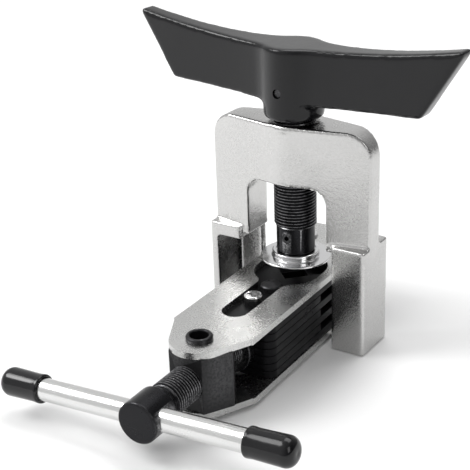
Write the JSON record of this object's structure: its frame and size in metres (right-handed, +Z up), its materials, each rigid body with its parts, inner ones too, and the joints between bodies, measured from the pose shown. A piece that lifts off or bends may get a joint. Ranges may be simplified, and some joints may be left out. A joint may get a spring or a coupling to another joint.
{
  "type": "flaring tool",
  "caption": "Tube flaring tool: winged feed screw and cone in a cast yoke over a laminated V-jaw clamp driven by a T-bar screw.",
  "frame": {"origin": "tube seat: the feed-screw axis where it meets the top face of the clamp's top plate", "axes": "+Z up along the feed screw towards the handle, +X along the yoke, -Y along the clamp towards its T-bar"},
  "size_m": [0.1682, 0.1798, 0.1494],
  "materials": {
    "plated_plate": "zinc-plated stamped plate, fine speckled grain, bright sheared edges",
    "black_oxide_leaf": "black oxide on ground leaves, edges worn lighter",
    "black_oxide_block": "black oxide, scuffed",
    "black_oxide_rivet": "black oxide, smooth",
    "black_oxide_pin": "black oxide, satin",
    "black_oxide_screw": "oiled black oxide, thin bright thread crests",
    "bright_rivet": "bright steel",
    "bright_screw": "bright plated",
    "bright_rod": "drawn bright rod",
    "dipped_vinyl": "glossy dipped vinyl",
    "plated_casting": "nickel-plated casting with a fine pebbled skin",
    "turned_chrome": "turned and plated, concentric tool marks",
    "ground_steel": "hardened and ground",
    "black_enamel": "black semi-gloss enamel over a casting"
  },
  "bodies": {
    "clamp": {"top_plate": "plated_plate", "bottom_plate": "plated_plate", "nose_block": "black_oxide_block", "nose_rivet_top": "black_oxide_rivet", "nose_rivet_bottom": "black_oxide_rivet", "rear_rivet_left": "bright_rivet", "rear_rivet_right": "bright_rivet", "fixed_leaf_1": "black_oxide_leaf", "fixed_leaf_2": "black_oxide_leaf", "fixed_leaf_3": "black_oxide_leaf", "fixed_leaf_4": "black_oxide_leaf", "fixed_leaf_5": "black_oxide_leaf", "fixed_leaf_6": "black_oxide_leaf", "fixed_leaf_7": "black_oxide_leaf"},
    "jaw": {"sliding_leaf_1": "black_oxide_leaf", "sliding_leaf_2": "black_oxide_leaf", "sliding_leaf_3": "black_oxide_leaf", "sliding_leaf_4": "black_oxide_leaf", "sliding_leaf_5": "black_oxide_leaf", "sliding_leaf_6": "black_oxide_leaf", "sliding_leaf_7": "black_oxide_leaf", "guide_pin_front": "black_oxide_pin", "guide_pin_rear": "black_oxide_pin", "guide_screw": "bright_screw"},
    "clamp_screw": {"clamp_screw": "black_oxide_screw", "thrust_collar": "black_oxide_screw"},
    "t_bar": {"t_bar_rod": "bright_rod", "t_bar_cap_left": "dipped_vinyl", "t_bar_cap_right": "dipped_vinyl"},
    "yoke": {"yoke": "plated_casting"},
    "cone_holder": {"cone_collar": "turned_chrome", "flaring_cone": "ground_steel", "thrust_ball": "ground_steel"},
    "feed": {"feed_screw": "black_oxide_screw", "neck_set_screw": "black_oxide_pin", "handle": "black_enamel", "handle_pin": "black_oxide_pin"}
  },
  "joints": [
    {"name": "yoke_slide", "type": "slide", "parent": "clamp", "child": "yoke", "axis": [0, 1, 0], "range_m": [-0.0035, 0.004]},
    {"name": "feed_travel", "type": "slide", "parent": "yoke", "child": "cone_holder", "axis": [0, 0, 1], "range_m": [-0.002, 0.03]},
    {"name": "feed_turn", "type": "hinge", "parent": "cone_holder", "child": "feed", "pos_m": [0, 0, 0.05], "axis": [0, 0, 1], "range_deg": [-480, 7200]},
    {"name": "jaw_travel", "type": "slide", "parent": "clamp", "child": "jaw", "axis": [0, 1, 0], "range_m": [-0.0037, 0.0105]},
    {"name": "clamp_screw_turn", "type": "hinge", "parent": "jaw", "child": "clamp_screw", "pos_m": [0, -0.12, -0.016], "axis": [0, 1, 0], "range_deg": [-888, 2520]},
    {"name": "t_bar_slide", "type": "slide", "parent": "clamp_screw", "child": "t_bar", "axis": [0.9981, 0, 0.061], "range_m": [-0.0371, 0.0431]}
  ],
  "couplings": [
    {"joint": "feed_travel", "follows": "feed_turn", "m_per_rad": 0.00023873},
    {"joint": "jaw_travel", "follows": "clamp_screw_turn", "m_per_rad": 0.00023873}
  ]
}
